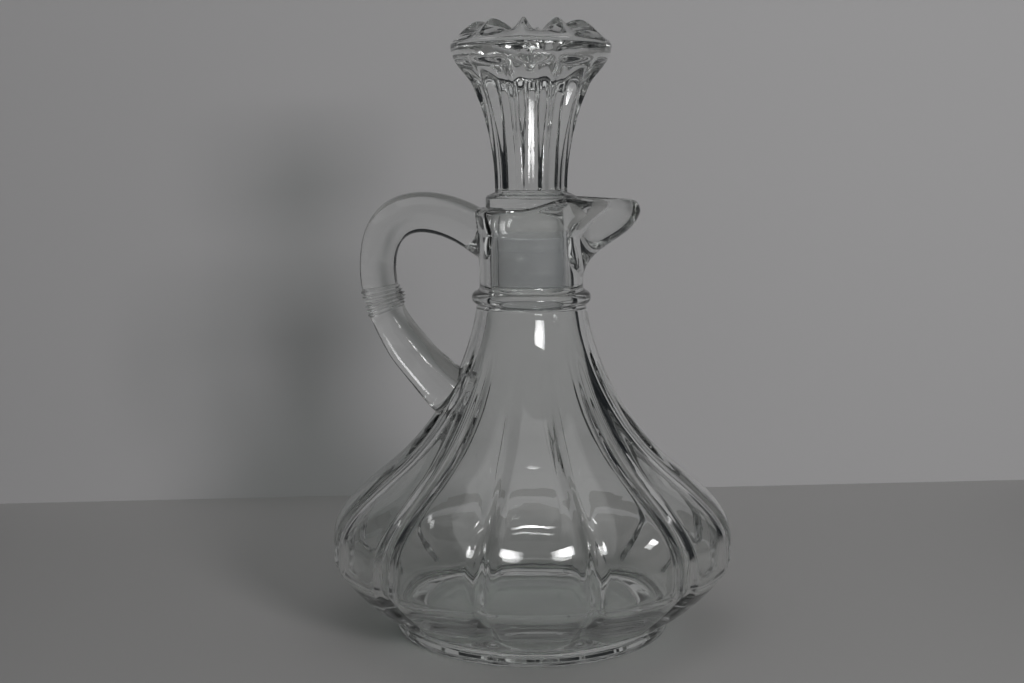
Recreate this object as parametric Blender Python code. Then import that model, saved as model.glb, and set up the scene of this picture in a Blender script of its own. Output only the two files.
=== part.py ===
"""Oil cruet of clear pressed glass with its glass stopper, in metres, +Z up.

The bottle stands on its foot with the centre of the underside at the origin. The pouring lip
points to +X and the looped handle to -X. The bottle is empty. The stopper's plug is wedged in
the neck by a thin plastic sleeve.
"""

import bisect
import math

import bmesh
import bpy
from mathutils import Vector

MM = 0.001

# Foot and bulb, as (radius, height) in millimetres along the crest of a lobe
FOOT_RADIUS = 34.0
FOOT_HEIGHT = 2.9
BULB_RADIUS = 49.5
BULB_WIDEST = 18.0
WAIST_RADIUS = 36.8
WAIST_HEIGHT = 39.4
SHOULDER_RADIUS = 13.6
SHOULDER_HEIGHT = 79.0
SEAT = (34.2, 4.4)
WIDEST = (BULB_RADIUS, BULB_WIDEST)
WAIST = (WAIST_RADIUS, WAIST_HEIGHT)
SHOULDER = (SHOULDER_RADIUS, SHOULDER_HEIGHT)
LOWER_BULB = (SEAT, (39.3, 4.5), (BULB_RADIUS, 16.7), WIDEST)
UPPER_BULB = (WIDEST, (BULB_RADIUS, 26.1), (50.4, 28.5), WAIST)
CONE = (WAIST, (16.6, 55.4), (13.7, 78.2), SHOULDER)

# Lobes round the bulb, with a crease between each two
LOBES = 12
LOBE_DEPTH = 2.8
LOBE_ROUNDNESS = 0.12
CREASE_POWER = 8.0
LOBES_FADE_IN = (8.0, 14.5)
LOBES_FADE_OUT = (25.0, 78.0)

# Bead ring and neck
BEAD_CENTRE_RADIUS = 12.9
BEAD_TUBE_RADIUS = 1.72
BEAD_HEIGHT = 81.9
BEAD_TURNS = (-55, -20, 15, 50, 80)
BEAD_TOP = 84.5
NECK_RADIUS = 12.7
NECK_TOP = 87.0
BORE_RADIUS = 9.8
BORE_TOP = 97.0
BORE_BOTTOM = 84.0

# Mouth: plain round side and pouring lip, each as an outside, a rolled rim and an inside
MOUTH_SIDE = ((NECK_RADIUS, NECK_TOP), (NECK_RADIUS, 94.0), (14.2, 98.0), (14.05, 102.2))
MOUTH_ROLL = ((14.05, 102.2), (14.1, 103.0), (13.7, 103.6), (12.9, 103.6))
MOUTH_INSIDE = ((12.9, 103.6), (11.6, 103.5), (10.9, 99.5), (BORE_RADIUS, BORE_TOP))
LIP_UNDERSIDE = ((NECK_RADIUS, NECK_TOP), (14.2, 95.0), (24.3, 95.5), (26.5, 102.3))
LIP_ROLL = ((26.5, 102.3), (26.8, 104.0), (25.9, 105.3), (24.4, 105.6))
LIP_CHANNEL = ((24.4, 105.6), (18.6, 105.2), (14.2, 101.5), (BORE_RADIUS, BORE_TOP))
LIP_SPREAD = math.radians(26)
CHANNEL_SPREAD = math.radians(21)
RIM_LIFT = 2.6
RIM_LIFT_FROM = math.radians(105)
RIM_LIFT_TO = math.radians(50)

# Hollow inside
NECK_WALL = 3.0
BULB_WALL = 2.6
FLOOR_HEIGHT = 6.4
INNER_LOBE_SHARE = 0.75
INNER_ROUNDNESS = 0.3
INNER_CREASE_POWER = 4.0
HEEL = ((46.9, 18.0), (46.9, 15.3), (37.0, 8.0), (25.0, FLOOR_HEIGHT + 0.2))
RECESS_RADIUS = 27.5
RECESS_DEPTH = 0.6

# Handle: a round rod along two curves, as (x, height)
HANDLE_LOOP = ((-12.5, 97.6), (-20.0, 103.4), (-37.6, 108.0), (-37.4, 89.0))
HANDLE_ARM = ((-37.4, 89.0), (-37.3, 78.0), (-31.0, 68.5), (-17.5, 56.3))
HANDLE_RADII = ((0.0, 5.2), (0.25, 4.9), (0.45, 4.45), (0.62, 4.45), (0.78, 5.2), (1.0, 6.4))
HANDLE_SINK = 1.3
SINK_STEP = 0.05
SINK_STEPS = 400
BAND_TOP = 84.6
BAND_BOTTOM = 78.8
BAND_RIDGES = 5
BAND_RISE = 0.75
BAND_END_SHARE = 0.35
BAND_LEAN = 0.5

# Stopper, as (radius, height): plug, collar, fluted stem and crown
PLUG_BOTTOM = 81.0
PLUG_TIP_RADIUS = 8.1
PLUG_RADIUS = 8.4
COLLAR_RADIUS = 11.1
COLLAR_BOTTOM = 103.3
COLLAR_TOP = 106.8
STEM_RADIUS = 8.8
CROWN_RADIUS = 19.3
CROWN_HEIGHT = 141.9
STEM = ((STEM_RADIUS, COLLAR_TOP + 0.6), (8.6, 117.5), (11.4, 127.5), (14.2, 133.2))
CROWN_UNDERSIDE = ((14.2, 133.2), (16.0, 136.0), (CROWN_RADIUS, 138.2), (CROWN_RADIUS, CROWN_HEIGHT))
CROWN_TOP = ((CROWN_RADIUS, CROWN_HEIGHT), (CROWN_RADIUS, 144.2), (14.5, 145.2), (10.0, 144.6))
CROWN_DISH_HEIGHT = 143.4
CROWN_DISH_RADIUS = 5.5
FLUTES = 10
FLUTE_SHARE = 0.09
FLUTE_END = (136.6, 139.6)
PETAL_RISE = 3.0
PETAL_RADIUS = 12.5
PETAL_SHARPNESS = 1.3
PETAL_TURN = math.radians(-9)
FRONT = math.radians(-90)

# Plastic sleeve between plug and neck
SLEEVE_TOP = 98.2
SLEEVE_BOTTOM = 84.4
SLEEVE_RADIUS = 9.3
SLEEVE_FLANGE_RADIUS = 9.65
SLEEVE_FLANGE_HEIGHT = 0.9
SLEEVE_PLAY = 0.39

# How finely round shapes are divided
LOBE_STATIONS = (0.0, 0.38, 0.5, 0.62)
LIP_LOBE_STATIONS = (0.0, 0.15, 0.29, 0.42, 0.5, 0.58, 0.71, 0.85)
LIP_LOBES = (-1, 0)
STOPPER_SIDES = 40
SLEEVE_SIDES = 40
HANDLE_SIDES = 16
CURVE_STEPS = 6
CONE_STEPS = 8
LIP_STEPS = 5
ROLL_STATIONS = (0.35, 0.7, 1.0)
CROWN_STEPS = 5
HANDLE_SAMPLES = 60
LOOP_STEPS = 14
ARM_STEPS = 9


def smooth(value):
    """Ease from 0 to 1, level at both ends."""
    t = min(max(value, 0.0), 1.0)
    return t * t * (3 - 2 * t)


def curve_point(curve, t):
    """Point of a cubic curve given by its ends and two pulls."""
    s = 1 - t
    weights = (s**3, 3 * s * s * t, 3 * s * t * t, t**3)
    return tuple(sum(w * point[axis] for w, point in zip(weights, curve)) for axis in (0, 1))


def curve_points(curve, steps, first=0):
    """Points of a cubic curve at equal parameter steps."""
    return [curve_point(curve, i / steps) for i in range(first, steps + 1)]


def value_between(stations, position):
    """Value at a position along stations of (position, value), eased between them."""
    positions = [station[0] for station in stations]
    i = min(max(bisect.bisect_right(positions, position), 1), len(stations) - 1)
    (start, low), (end, high) = stations[i - 1], stations[i]
    return low + (high - low) * smooth((position - start) / (end - start))


def bottle_angles():
    """Angles round the bottle, closer together where the pouring lip is."""
    angles = []
    sector = math.tau / LOBES
    for lobe in range(LOBES):
        centre = lobe if lobe < LOBES / 2 else lobe - LOBES
        near_lip = LIP_LOBES[0] <= centre <= LIP_LOBES[1]
        stations = LIP_LOBE_STATIONS if near_lip else LOBE_STATIONS
        angles += [(lobe + station) * sector for station in stations]
    return angles


def lobe_sag(angle, roundness, power):
    """0 along the middle of a lobe and 1 in the crease between two."""
    sector = math.tau / LOBES
    offset = (angle + sector / 2) % sector - sector / 2
    across = abs(2 * offset / sector)
    return roundness * across**2 + (1 - roundness) * across**power


def lobe_depth(height):
    """How deep the creases are at a height."""
    fade_in = smooth((height - LOBES_FADE_IN[0]) / (LOBES_FADE_IN[1] - LOBES_FADE_IN[0]))
    fade_out = smooth((LOBES_FADE_OUT[1] - height) / (LOBES_FADE_OUT[1] - LOBES_FADE_OUT[0]))
    return LOBE_DEPTH * fade_in * fade_out


def place(radius, height, angle):
    """Point in metres at a radius and height in millimetres."""
    return Vector((radius * math.cos(angle), radius * math.sin(angle), height)) * MM


def plain_ring(radius, height, angles):
    """Round ring."""
    return [place(radius, height, angle) for angle in angles]


def lobed_ring(radius, height, angles, roundness=LOBE_ROUNDNESS, power=CREASE_POWER, share=1.0):
    """Ring of the bulb, drawn in at the creases."""
    depth = lobe_depth(height) * share
    return [place(radius - depth * lobe_sag(angle, roundness, power), height, angle) for angle in angles]


def mouth_ring(side, lip, lift_share, spread, angles):
    """Ring of the mouth, blended from its plain side to its pouring lip."""
    points = []
    for angle in angles:
        turn = abs((angle + math.pi) % math.tau - math.pi)
        lift = RIM_LIFT * smooth((RIM_LIFT_FROM - turn) / (RIM_LIFT_FROM - RIM_LIFT_TO)) * lift_share
        weight = math.exp(-((turn / spread) ** 2))
        radius = side[0] + (lip[0] - side[0]) * weight
        height = (side[1] + lift) * (1 - weight) + lip[1] * weight
        points.append(place(radius, height, angle))
    return points


def outer_wall():
    """(radius, height) of the bulb and cone along a lobe's crest, from the foot up."""
    bulb = curve_points(LOWER_BULB, CURVE_STEPS) + curve_points(UPPER_BULB, CURVE_STEPS, 1)
    return bulb + curve_points(CONE, CONE_STEPS, 1)


def inner_wall():
    """(radius, height) of the hollow, from the neck down to the widest place."""
    points = []
    for curve, steps in ((CONE, CONE_STEPS - 1), (UPPER_BULB, CURVE_STEPS - 1)):
        for i in range(steps - 1, -1, -1):
            radius, height = curve_point(curve, i / steps)
            ahead = curve_point(curve, i / steps + 0.01)
            run = Vector((ahead[0] - radius, ahead[1] - height)).normalized()
            share = smooth((height - BULB_WIDEST) / (SHOULDER_HEIGHT - BULB_WIDEST))
            wall = BULB_WALL + (NECK_WALL - BULB_WALL) * share
            points.append((radius - run.y * wall, height + run.x * wall))
    return points


def bottle_rings():
    """Rings of the bottle: underside, outside, over the rim and down the inside to the floor."""
    angles = bottle_angles()
    rings = [
        plain_ring(RECESS_RADIUS, RECESS_DEPTH, angles),
        plain_ring(RECESS_RADIUS + 1.0, 0.0, angles),
        plain_ring(FOOT_RADIUS - 0.8, 0.0, angles),
        plain_ring(FOOT_RADIUS, 0.8, angles),
        plain_ring(FOOT_RADIUS, FOOT_HEIGHT - 0.6, angles),
        plain_ring(FOOT_RADIUS - 0.7, FOOT_HEIGHT + 0.4, angles),
    ]
    rings += [lobed_ring(radius, height, angles) for radius, height in outer_wall()]
    for degrees in BEAD_TURNS:
        turn = math.radians(degrees)
        radius = BEAD_CENTRE_RADIUS + BEAD_TUBE_RADIUS * math.cos(turn)
        rings.append(plain_ring(radius, BEAD_HEIGHT + BEAD_TUBE_RADIUS * math.sin(turn), angles))
    rings.append(plain_ring(NECK_RADIUS, BEAD_TOP, angles))

    for i in range(CURVE_STEPS + 1):
        t = i / CURVE_STEPS
        side, lip = curve_point(MOUTH_SIDE, t), curve_point(LIP_UNDERSIDE, t)
        rings.append(mouth_ring(side, lip, t**3, LIP_SPREAD, angles))
    for t in ROLL_STATIONS:
        side, lip = curve_point(MOUTH_ROLL, t), curve_point(LIP_ROLL, t)
        rings.append(mouth_ring(side, lip, 1.0, LIP_SPREAD, angles))
    for i in range(1, LIP_STEPS + 1):
        t = i / LIP_STEPS
        side, lip = curve_point(MOUTH_INSIDE, t), curve_point(LIP_CHANNEL, t)
        spread = LIP_SPREAD + (CHANNEL_SPREAD - LIP_SPREAD) * smooth(2 * t)
        rings.append(mouth_ring(side, lip, (1 - t) ** 2, spread, angles))

    rings.append(plain_ring(BORE_RADIUS, BORE_BOTTOM, angles))
    hollow = inner_wall() + curve_points(HEEL, CURVE_STEPS, 1)
    creases = (INNER_ROUNDNESS, INNER_CREASE_POWER, INNER_LOBE_SHARE)
    rings += [lobed_ring(radius, height, angles, *creases) for radius, height in hollow]
    return rings


def outside_radius(height):
    """Radius of the bottle's outside along a crest, at a height on the cone or the mouth."""
    profile = outer_wall() + curve_points(MOUTH_SIDE, CURVE_STEPS) + [MOUTH_ROLL[-1]]
    heights = [station[1] for station in profile]
    i = min(max(bisect.bisect_right(heights, height), 1), len(profile) - 1)
    (start, low), (end, high) = profile[i - 1], profile[i]
    return start + (end - start) * min(max((height - low) / (high - low), 0.0), 1.0)


def sink(point, run):
    """Slide a point in millimetres along a direction until it is inside the bottle's wall."""
    for _ in range(SINK_STEPS):
        if math.hypot(point.x, point.y) <= outside_radius(point.z) - HANDLE_SINK:
            break
        point = point + run * SINK_STEP
    return point


def handle_path():
    """Stations along the handle, each (x, height, radius, lean), the band's ridges among them."""
    samples = curve_points(HANDLE_LOOP, HANDLE_SAMPLES) + curve_points(HANDLE_ARM, HANDLE_SAMPLES, 1)
    lengths = [0.0]
    for before, after in zip(samples, samples[1:]):
        lengths.append(lengths[-1] + math.dist(before, after))

    def station(share, rise=0.0, lean=0.0):
        target = share * lengths[-1]
        i = min(bisect.bisect_left(lengths, target), len(samples) - 1)
        x, height = samples[i]
        return x, height, value_between(HANDLE_RADII, share) + rise, lean

    arm = range(HANDLE_SAMPLES, len(samples))
    start = lengths[next(i for i in arm if samples[i][1] <= BAND_TOP)] / lengths[-1]
    end = lengths[next(i for i in arm if samples[i][1] <= BAND_BOTTOM)] / lengths[-1]
    stations = [station(start * i / LOOP_STEPS) for i in range(LOOP_STEPS + 1)]
    marks = 2 * BAND_RIDGES
    for i in range(1, marks):
        swell = smooth(2 * min(i, marks - i) / marks)
        rise = BAND_RISE * (BAND_END_SHARE + (1 - BAND_END_SHARE) * swell) * (i % 2)
        stations.append(station(start + (end - start) * i / marks, rise, BAND_LEAN * swell))
    stations += [station(end + (1 - end) * i / ARM_STEPS) for i in range(ARM_STEPS + 1)]
    return stations


def handle_rings():
    """Rings of the handle's rod, its end rings sunk into the bottle's wall."""
    stations = handle_path()
    rings = []
    for i, (x, height, radius, lean) in enumerate(stations):
        before = stations[max(i - 1, 0)]
        after = stations[min(i + 1, len(stations) - 1)]
        run = Vector((after[0] - before[0], 0.0, after[1] - before[1])).normalized()
        outward = Vector((-run.z, 0.0, run.x))
        ring = []
        for k in range(HANDLE_SIDES):
            turn = math.tau * k / HANDLE_SIDES
            offset = (outward * math.cos(turn) + Vector((0.0, 1.0, 0.0)) * math.sin(turn)) * radius
            ring.append(Vector((x + lean, 0.0, height)) + offset)
        rings.append((ring, run))
    start_ring, start_run = rings[1]
    end_ring, end_run = rings[-2]
    shaped = [[sink(point, -start_run) for point in start_ring]]
    shaped += [ring for ring, _ in rings[1:-1]]
    shaped.append([sink(point, end_run) for point in end_ring])
    return [[point * MM for point in ring] for ring in shaped]


def flute_depth(height):
    """How deep the stem's flutes are at a height, in shares of the radius."""
    fade = smooth((FLUTE_END[1] - height) / (FLUTE_END[1] - FLUTE_END[0]))
    return FLUTE_SHARE * fade


def flute_sag(angle):
    """1 along the middle of a flute and 0 on the ridge between two."""
    sector = math.tau / FLUTES
    offset = (angle - FRONT + sector / 2) % sector - sector / 2
    return 1 - (2 * offset / sector) ** 2


def petal(angle):
    """1 along a petal of the crown and 0 half-way to the next."""
    return (0.5 + 0.5 * math.cos(FLUTES * (angle - FRONT - PETAL_TURN))) ** PETAL_SHARPNESS


def stopper_rings():
    """Rings of the stopper from the tip of its plug to the dish in its crown."""
    angles = [FRONT + math.tau * i / STOPPER_SIDES for i in range(STOPPER_SIDES)]
    profile = [
        (PLUG_TIP_RADIUS - 1.6, PLUG_BOTTOM),
        (PLUG_TIP_RADIUS - 0.4, PLUG_BOTTOM + 0.5),
        (PLUG_TIP_RADIUS, PLUG_BOTTOM + 1.6),
        (PLUG_RADIUS, COLLAR_BOTTOM - 1.6),
        (COLLAR_RADIUS - 1.0, COLLAR_BOTTOM),
        (COLLAR_RADIUS, COLLAR_BOTTOM + 1.0),
        (COLLAR_RADIUS, COLLAR_TOP - 1.3),
        (COLLAR_RADIUS - 0.6, COLLAR_TOP - 0.4),
        (COLLAR_RADIUS - 1.5, COLLAR_TOP),
    ]
    rings = [plain_ring(radius, height, angles) for radius, height in profile]
    for radius, height in curve_points(STEM, CURVE_STEPS) + curve_points(CROWN_UNDERSIDE, CROWN_STEPS, 1):
        depth = radius * flute_depth(height)
        rings.append([place(radius - depth * flute_sag(angle), height, angle) for angle in angles])
    half_way = (CROWN_TOP[-1][1] + CROWN_DISH_HEIGHT) / 2
    for radius, height in curve_points(CROWN_TOP, CROWN_STEPS, 1) + [(CROWN_DISH_RADIUS, half_way)]:
        outer = (CROWN_RADIUS - radius) / (CROWN_RADIUS - PETAL_RADIUS)
        rise = PETAL_RISE * smooth(min(outer, radius / PETAL_RADIUS))
        rings.append([place(radius, height + rise * petal(angle), angle) for angle in angles])
    return rings


def sleeve_rings():
    """Rings of the sleeve: up its outside and flange, then down its inside."""
    angles = [math.tau * i / SLEEVE_SIDES for i in range(SLEEVE_SIDES)]
    taper = (PLUG_RADIUS - PLUG_TIP_RADIUS) / (COLLAR_BOTTOM - PLUG_BOTTOM)
    top_inside = PLUG_RADIUS - taper * (COLLAR_BOTTOM - SLEEVE_TOP) + SLEEVE_PLAY
    bottom_inside = PLUG_RADIUS - taper * (COLLAR_BOTTOM - SLEEVE_BOTTOM) + SLEEVE_PLAY
    flange = SLEEVE_TOP - SLEEVE_FLANGE_HEIGHT
    profile = [
        (SLEEVE_RADIUS, SLEEVE_BOTTOM),
        (SLEEVE_RADIUS, flange),
        (SLEEVE_FLANGE_RADIUS, flange + 0.3),
        (SLEEVE_FLANGE_RADIUS, SLEEVE_TOP),
        (top_inside, SLEEVE_TOP),
        (bottom_inside, SLEEVE_BOTTOM),
    ]
    return [plain_ring(radius, height, angles) for radius, height in profile]


def skin(shape, loops, joined=False):
    """Faces between each ring and the next, and from the last back to the first where joined."""
    pairs = list(zip(loops, loops[1:]))
    if joined:
        pairs.append((loops[-1], loops[0]))
    for lower, upper in pairs:
        for i in range(len(lower)):
            j = (i + 1) % len(lower)
            shape.faces.new((lower[i], lower[j], upper[j], upper[i]))


def cap(shape, loop, height=None):
    """Fan that closes a ring, from its middle or from a point of the axis."""
    middle = sum((vert.co for vert in loop), Vector()) / len(loop)
    if height is not None:
        middle = Vector((0.0, 0.0, height * MM))
    centre = shape.verts.new(middle)
    for i in range(len(loop)):
        shape.faces.new((loop[i], loop[(i + 1) % len(loop)], centre))


def solid(name, rings, material, ends=None):
    """Closed object from rings: a tube ring where ends is None, else closed by a fan at each end."""
    shape = bmesh.new()
    loops = [[shape.verts.new(point) for point in ring] for ring in rings]
    skin(shape, loops, joined=ends is None)
    if ends is not None:
        cap(shape, loops[0], ends[0])
        cap(shape, loops[-1], ends[1])
    bmesh.ops.recalc_face_normals(shape, faces=shape.faces)
    mesh = bpy.data.meshes.new(name)
    shape.to_mesh(mesh)
    shape.free()
    mesh.shade_smooth()
    mesh.set_sharp_from_angle(angle=math.radians(40))
    mesh.materials.append(material)
    made = bpy.data.objects.new(name, mesh)
    bpy.context.scene.collection.objects.link(made)
    return made


def clear_glass():
    """Clear soda-lime glass with a trace of green."""
    material = bpy.data.materials.new("clear_glass")
    material.use_nodes = True
    shader = material.node_tree.nodes["Principled BSDF"]
    shader.inputs["Base Color"].default_value = (0.90, 0.94, 0.92, 1.0)
    shader.inputs["Metallic"].default_value = 0.0
    shader.inputs["Roughness"].default_value = 0.03
    shader.inputs["IOR"].default_value = 1.5
    shader.inputs["Transmission Weight"].default_value = 1.0
    return material


def milky_plastic():
    """Thin translucent plastic, milky with a little blue."""
    material = bpy.data.materials.new("milky_plastic")
    material.use_nodes = True
    shader = material.node_tree.nodes["Principled BSDF"]
    shader.inputs["Base Color"].default_value = (0.60, 0.65, 0.71, 1.0)
    shader.inputs["Metallic"].default_value = 0.0
    shader.inputs["Roughness"].default_value = 0.4
    shader.inputs["Transmission Weight"].default_value = 0.5
    return material


def join(base, other):
    """Union of a second object into the first, which hides the second."""
    union = base.modifiers.new("handle", "BOOLEAN")
    union.operation = "UNION"
    union.solver = "EXACT"
    union.object = other
    other.hide_render = True
    other.display_type = "WIRE"


def build():
    """Clear the scene and model the cruet's pieces."""
    for old in list(bpy.data.objects):
        bpy.data.objects.remove(old)
    glass = clear_glass()
    bottle = solid("bottle", bottle_rings(), glass, (RECESS_DEPTH, FLOOR_HEIGHT))
    handle = solid("handle_rod", handle_rings(), glass, (None, None))
    join(bottle, handle)
    solid("stopper", stopper_rings(), glass, (PLUG_BOTTOM, CROWN_DISH_HEIGHT))
    solid("stopper_sleeve", sleeve_rings(), milky_plastic())


build()
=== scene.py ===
"""Looks of a glass oil cruet with its glass stopper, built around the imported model.

Shapes are worked out in millimetres and stored in metres, +Z up. The pouring lip points to +X
and the looped handle to -X. The cruet stands on its foot at the origin.
"""

from __future__ import annotations

import sys

import logging
import math
from bisect import bisect_left, bisect_right
from collections.abc import Callable, Sequence
from dataclasses import dataclass, field
from enum import Enum

import bmesh
import bpy
from mathutils import Matrix, Vector

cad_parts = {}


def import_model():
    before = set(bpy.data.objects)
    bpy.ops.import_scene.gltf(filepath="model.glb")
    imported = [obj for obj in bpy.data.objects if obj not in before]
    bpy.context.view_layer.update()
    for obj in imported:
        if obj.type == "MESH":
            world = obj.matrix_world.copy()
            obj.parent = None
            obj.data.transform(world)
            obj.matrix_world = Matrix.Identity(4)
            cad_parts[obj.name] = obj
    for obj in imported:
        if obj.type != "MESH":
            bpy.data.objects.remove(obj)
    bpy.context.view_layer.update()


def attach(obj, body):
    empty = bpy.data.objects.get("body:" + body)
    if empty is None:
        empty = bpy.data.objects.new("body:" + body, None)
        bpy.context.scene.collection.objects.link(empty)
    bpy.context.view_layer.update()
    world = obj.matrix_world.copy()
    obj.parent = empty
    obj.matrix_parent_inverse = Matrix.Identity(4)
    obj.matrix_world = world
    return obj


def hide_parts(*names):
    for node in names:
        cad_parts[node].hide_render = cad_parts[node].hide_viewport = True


MM = 0.001
FRONT = math.radians(-90)
OPEN_BEAM = 180.0
GLASS_BOUNCES = 24
GLOSS_BOUNCES = 12

Pair = tuple[float, float]
Point = tuple[float, float, float]
Ring = list[Point]

log = logging.getLogger("cruet")


def smooth(value: float) -> float:
    """Return value eased from 0 to 1, level at both ends."""
    t = min(max(value, 0.0), 1.0)
    return t * t * (3 - 2 * t)


def ramp(position: float, ends: Pair) -> float:
    """Return 0 at the first end, eased to 1 at the second, which may be above or below it."""
    return smooth((position - ends[0]) / (ends[1] - ends[0]))


def between(stations: Sequence[Pair], position: float) -> float:
    """Read a value along stations, eased between them.

    Args:
        stations: Pairs of (position, value) in rising order of position.
        position: Where to read.

    Returns:
        The eased value.
    """
    starts = [station[0] for station in stations]
    i = min(max(bisect_right(starts, position), 1), len(stations) - 1)
    (start, low), (end, high) = stations[i - 1], stations[i]
    return low + (high - low) * smooth((position - start) / (end - start))


def at(radius: float, height: float, angle: float) -> Point:
    """Return the point at a radius, height and angle round the axis."""
    return (radius * math.cos(angle), radius * math.sin(angle), height)


def round_rings(profile: Sequence[Pair], angles: Sequence[float]) -> list[Ring]:
    """Return one round ring for each (radius, height) of a profile."""
    return [[at(radius, height, angle) for angle in angles] for radius, height in profile]


@dataclass(frozen=True)
class Cubic:
    """Cubic curve in (radius, height), given by its ends and two pulls."""

    start: Pair
    pull_out: Pair
    pull_in: Pair
    end: Pair

    def point(self, t: float) -> Pair:
        """Return the point at parameter t."""
        s = 1 - t
        weights = (s**3, 3 * s * s * t, 3 * s * t * t, t**3)
        corners = (self.start, self.pull_out, self.pull_in, self.end)
        radius = sum(w * corner[0] for w, corner in zip(weights, corners))
        height = sum(w * corner[1] for w, corner in zip(weights, corners))
        return radius, height

    def points(self, steps: int, first: int = 0) -> list[Pair]:
        """Return points at equal parameter steps, from number first on."""
        return [self.point(i / steps) for i in range(first, steps + 1)]

    def normal(self, t: float) -> Pair:
        """Return the unit normal at parameter t, to the right of the curve's run."""
        step = 0.001
        before, after = self.point(t - step), self.point(t + step)
        run = (after[0] - before[0], after[1] - before[1])
        length = math.hypot(*run)
        return run[1] / length, -run[0] / length


class Ends(Enum):
    """How a stack of rings is closed."""

    FANS = "a fan at each end"
    TUBE = "the last ring joined to the first"


def solid(
    name: str,
    rings: Sequence[Ring],
    ends: Ends,
    tips: tuple[Point, Point] | None = None,
) -> bpy.types.Object:
    """Make a closed solid from rings that all have the same number of points.

    Args:
        name: Name of the object and its mesh.
        rings: Rings in millimetres, in order along the surface.
        ends: How the stack is closed.
        tips: Middle points of the two end fans, for Ends.FANS.

    Returns:
        The object, in metres and shaded smooth.
    """
    sides = len(rings[0])
    points = [point for ring in rings for point in ring]
    loops = len(rings) if ends is Ends.TUBE else len(rings) - 1
    faces: list[tuple[int, ...]] = []
    for row in range(loops):
        low, high = row * sides, (row + 1) % len(rings) * sides
        for i in range(sides):
            j = (i + 1) % sides
            faces.append((low + i, low + j, high + j, high + i))
    if ends is Ends.FANS and tips is not None:
        last = (len(rings) - 1) * sides
        for start, tip in ((0, tips[0]), (last, tips[1])):
            points.append(tip)
            middle = len(points) - 1
            faces += [(start + i, start + (i + 1) % sides, middle) for i in range(sides)]
    mesh = bpy.data.meshes.new(name)
    mesh.from_pydata([(x * MM, y * MM, z * MM) for x, y, z in points], [], faces)
    shape = bmesh.new()
    shape.from_mesh(mesh)
    bmesh.ops.recalc_face_normals(shape, faces=shape.faces)
    shape.to_mesh(mesh)
    shape.free()
    mesh.shade_smooth()
    return show(name, mesh)


def show(name: str, data: bpy.types.ID) -> bpy.types.Object:
    """Put a mesh, lamp or camera in the scene as an object of that name."""
    made = bpy.data.objects.new(name, data)
    bpy.context.scene.collection.objects.link(made)
    return made


def linear(hex_colour: str) -> tuple[float, float, float, float]:
    """Turn an sRGB hex colour into linear values.

    Args:
        hex_colour: Six hexadecimal digits, with or without a leading #.

    Returns:
        Linear red, green and blue, and an alpha of 1.
    """
    digits = hex_colour.lstrip("#")
    values = [int(digits[i : i + 2], 16) / 255 for i in (0, 2, 4)]
    red, green, blue = (
        v / 12.92 if v <= 0.04045 else ((v + 0.055) / 1.055) ** 2.4 for v in values
    )
    return red, green, blue, 1.0


def add_node(
    tree: bpy.types.NodeTree,
    kind: str,
    settings: dict[str, object] | None = None,
    inputs: dict[str | int, object] | None = None,
) -> bpy.types.Node:
    """Add a node with its settings, values and links.

    Args:
        tree: Node tree that takes it.
        kind: Node type, such as ShaderNodeBump.
        settings: Properties of the node.
        inputs: Values of its sockets, by name or number. An output socket is linked.

    Returns:
        The node.
    """
    node = tree.nodes.new(kind)
    for key, value in (settings or {}).items():
        setattr(node, key, value)
    for key, value in (inputs or {}).items():
        if isinstance(value, bpy.types.NodeSocket):
            tree.links.new(value, node.inputs[key])
        else:
            node.inputs[key].default_value = value
    return node


def blank_material(name: str) -> tuple[bpy.types.Material, bpy.types.NodeTree, bpy.types.Node]:
    """Return a new material, its empty node tree and its output node."""
    material = bpy.data.materials.new(name)
    material.use_nodes = True
    tree = material.node_tree
    tree.nodes.clear()
    return material, tree, add_node(tree, "ShaderNodeOutputMaterial")


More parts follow.
